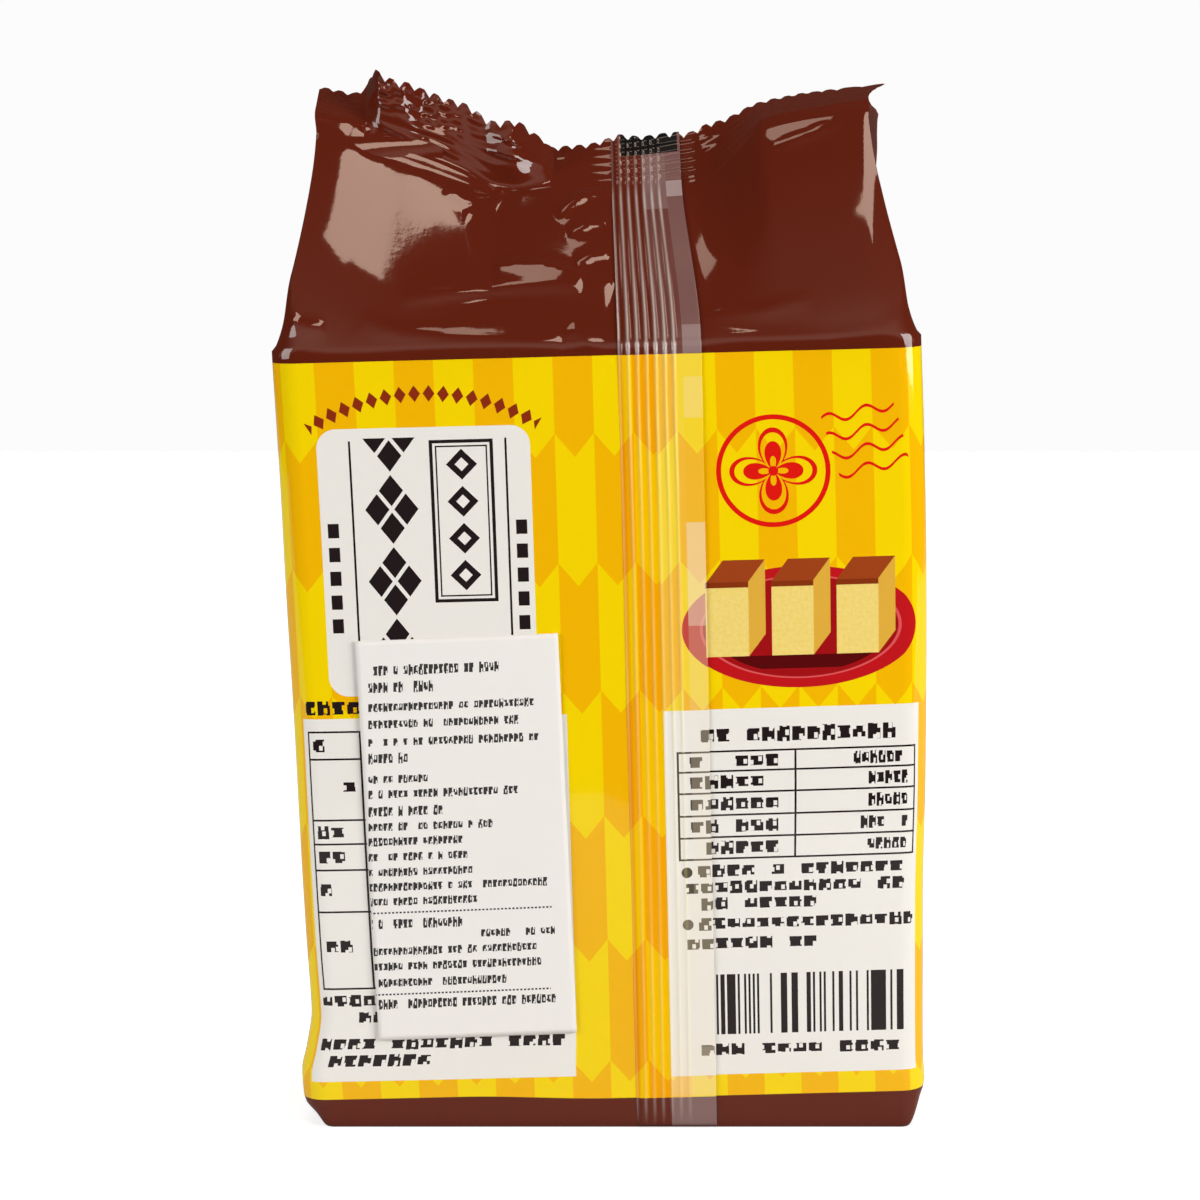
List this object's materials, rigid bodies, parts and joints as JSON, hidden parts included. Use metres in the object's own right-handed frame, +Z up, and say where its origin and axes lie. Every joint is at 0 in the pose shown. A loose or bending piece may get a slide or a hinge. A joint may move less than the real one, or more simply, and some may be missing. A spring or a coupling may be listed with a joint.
{
  "type": "shut film pack of castella sponge cake",
  "caption": "Shut upright film pack of sponge cake with a pleated, toothed top seal, a fin seal and a stuck-on paper label on its back.",
  "frame": {"origin": "centre of the folded foot that the pack stands on", "axes": "+Z up, towards the toothed top seal; -Y out of the back of the pack, which carries the fin seal and the label; +X to the right as that back is seen"},
  "size_m": [0.1074, 0.0545, 0.1744],
  "materials": {
    "film": "glossy printed film, yellow field between brown ends",
    "label": "smooth white paper, satin"
  },
  "bodies": {
    "root": {"film_pack": "film", "paper_label": "label"}
  },
  "joints": []
}
